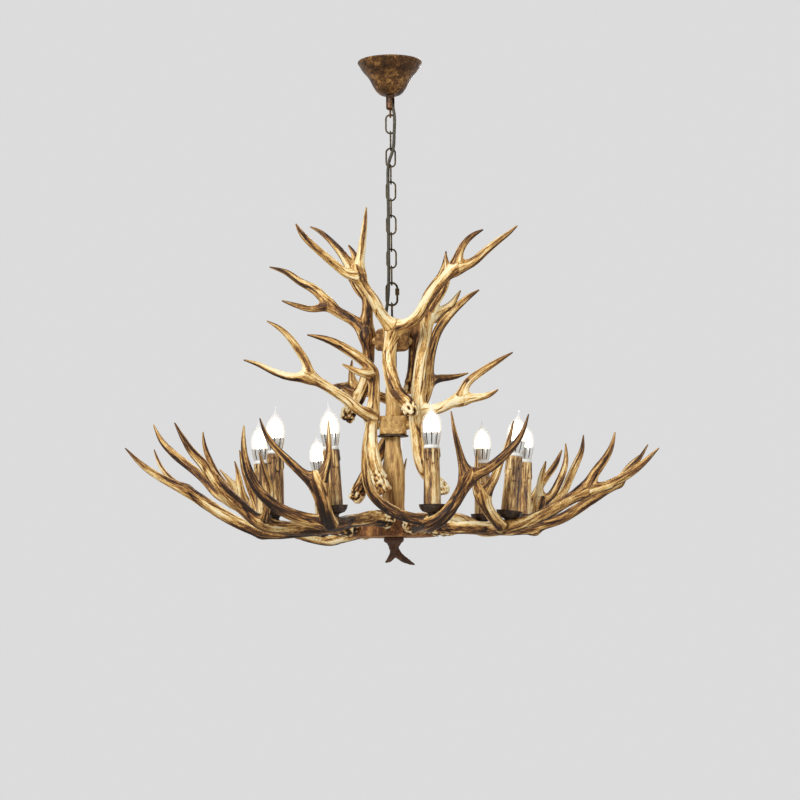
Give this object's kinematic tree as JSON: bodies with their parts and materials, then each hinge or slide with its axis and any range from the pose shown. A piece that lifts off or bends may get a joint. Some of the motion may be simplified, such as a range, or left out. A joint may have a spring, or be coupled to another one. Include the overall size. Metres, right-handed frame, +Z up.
{
  "type": "antler chandelier",
  "caption": "Hanging chandelier of cast antlers with candle lamps on drip dishes, chain, quick link, flex and bell canopy.",
  "frame": {"origin": "midpoint of the ceiling strap's two screw holes, on the ceiling plane", "axes": "+Z up into the ceiling, -Y the light's front, +X the viewer's right"},
  "size_m": [0.9745, 0.7647, 0.9386],
  "materials": {
    "strap_steel": "zinc plated",
    "bronze": "hammered antique bronze",
    "chain_brass": "aged",
    "dark_metal": "dark brown satin",
    "bark": "rough bark",
    "flex_sheath": "matt olive brown",
    "connector": "moulded",
    "candle": "wax drips, ivory to brown",
    "holder": "moulded",
    "antler_cream": "cast resin, cream and tan",
    "antler_brown": "cast resin, brown with light edges",
    "antler_dark": "cast resin, dark brown",
    "frosted_glass": "frosted"
  },
  "bodies": {
    "ceiling": {"ceiling_strap": "strap_steel", "hanging_nipple": "strap_steel", "nipple_nuts": "strap_steel", "canopy": "bronze", "hang_collar": "bronze", "canopy_loop": "bronze", "terminal_block": "connector"},
    "top_link": {"chain_link_top": "chain_brass"},
    "quick_nut": {"quick_link_nut": "chain_brass"},
    "bulb_1": {"bulb_1": "frosted_glass"},
    "bulb_2": {"bulb_2": "frosted_glass"},
    "bulb_3": {"bulb_3": "frosted_glass"},
    "bulb_4": {"bulb_4": "frosted_glass"},
    "bulb_5": {"bulb_5": "frosted_glass"},
    "bulb_6": {"bulb_6": "frosted_glass"},
    "bulb_7": {"bulb_7": "frosted_glass"},
    "bulb_8": {"bulb_8": "frosted_glass"},
    "bulb_9": {"bulb_9": "frosted_glass"},
    "fixture": {"candle_posts": "strap_steel", "candle_sleeves": "candle", "chain_links": "chain_brass", "collar": "bark", "collar_antler_back": "antler_cream", "collar_antler_left": "antler_cream", "collar_antler_right": "antler_cream", "collar_bolts": "bark", "collar_flange": "dark_metal", "dish_ferrules": "dark_metal", "drip_dishes": "dark_metal", "drum": "bark", "drum_bracket": "dark_metal", "drum_plate": "bark", "drum_screws": "strap_steel", "eye_bolt": "chain_brass", "eye_bolt_nut": "strap_steel", "finial": "bark", "flex": "flex_sheath", "hub_antler_front": "antler_dark", "hub_antler_left": "antler_dark", "hub_antler_right": "antler_dark", "hub_bolts": "bark", "lamp_holders": "holder", "lower_antler_1": "antler_brown", "lower_antler_2": "antler_brown", "lower_antler_3": "antler_cream", "lower_antler_4": "antler_cream", "lower_antler_5": "antler_cream", "lower_antler_6": "antler_cream", "lower_antler_7": "antler_brown", "lower_antler_8": "antler_brown", "lower_antler_9": "antler_brown", "lower_column": "bark", "quick_link": "chain_brass", "stem_nuts": "strap_steel", "stem_tube": "dark_metal", "upper_column": "bark", "upper_hub": "bark", "wire_connector": "connector"}
  },
  "joints": [
    {"name": "swing_sideways", "type": "hinge", "parent": "ceiling", "child": "top_link", "pos_m": [0, 0, -0.1044], "axis": [0, 1, 0], "range_deg": [-25, 25], "deforming": ["flex"]},
    {"name": "swing_front_back", "type": "hinge", "parent": "top_link", "child": "fixture", "pos_m": [0, 0, -0.1356], "axis": [1, 0, 0], "range_deg": [-25, 25], "deforming": ["flex"]},
    {"name": "quick_link_screw", "type": "slide", "parent": "fixture", "child": "quick_nut", "axis": [0, 0, 1], "range_m": [-0.008, 0]},
    {"name": "bulb_1_turn", "type": "hinge", "parent": "fixture", "child": "bulb_1", "pos_m": [0.06681, -0.24091, -0.86], "axis": [0, 0, 1], "range_deg": [0, 900]},
    {"name": "bulb_2_turn", "type": "hinge", "parent": "fixture", "child": "bulb_2", "pos_m": [0.20225, -0.14695, -0.8715], "axis": [0.1045, 0, 0.9945], "range_deg": [0, 900]},
    {"name": "bulb_3_turn", "type": "hinge", "parent": "fixture", "child": "bulb_3", "pos_m": [0.24032, 0.06891, -0.8645], "axis": [0.0349, 0, 0.9994], "range_deg": [0, 900]},
    {"name": "bulb_4_turn", "type": "hinge", "parent": "fixture", "child": "bulb_4", "pos_m": [0.1705, 0.18284, -0.8585], "axis": [0, 0, 1], "range_deg": [0, 900]},
    {"name": "bulb_5_turn", "type": "hinge", "parent": "fixture", "child": "bulb_5", "pos_m": [0, 0.25, -0.8595], "axis": [0, 0, 1], "range_deg": [0, 900]},
    {"name": "bulb_6_turn", "type": "hinge", "parent": "fixture", "child": "bulb_6", "pos_m": [-0.13248, 0.21201, -0.8785], "axis": [-0.0785, 0, 0.9969], "range_deg": [0, 900]},
    {"name": "bulb_7_turn", "type": "hinge", "parent": "fixture", "child": "bulb_7", "pos_m": [-0.23908, 0.07309, -0.8645], "axis": [-0.061, 0, 0.9981], "range_deg": [0, 900]},
    {"name": "bulb_8_turn", "type": "hinge", "parent": "fixture", "child": "bulb_8", "pos_m": [-0.20967, -0.13616, -0.8605], "axis": [0, 0, 1], "range_deg": [0, 900]},
    {"name": "bulb_9_turn", "type": "hinge", "parent": "fixture", "child": "bulb_9", "pos_m": [-0.10168, -0.22839, -0.8595], "axis": [-0.0523, 0, 0.9986], "range_deg": [0, 900]}
  ]
}
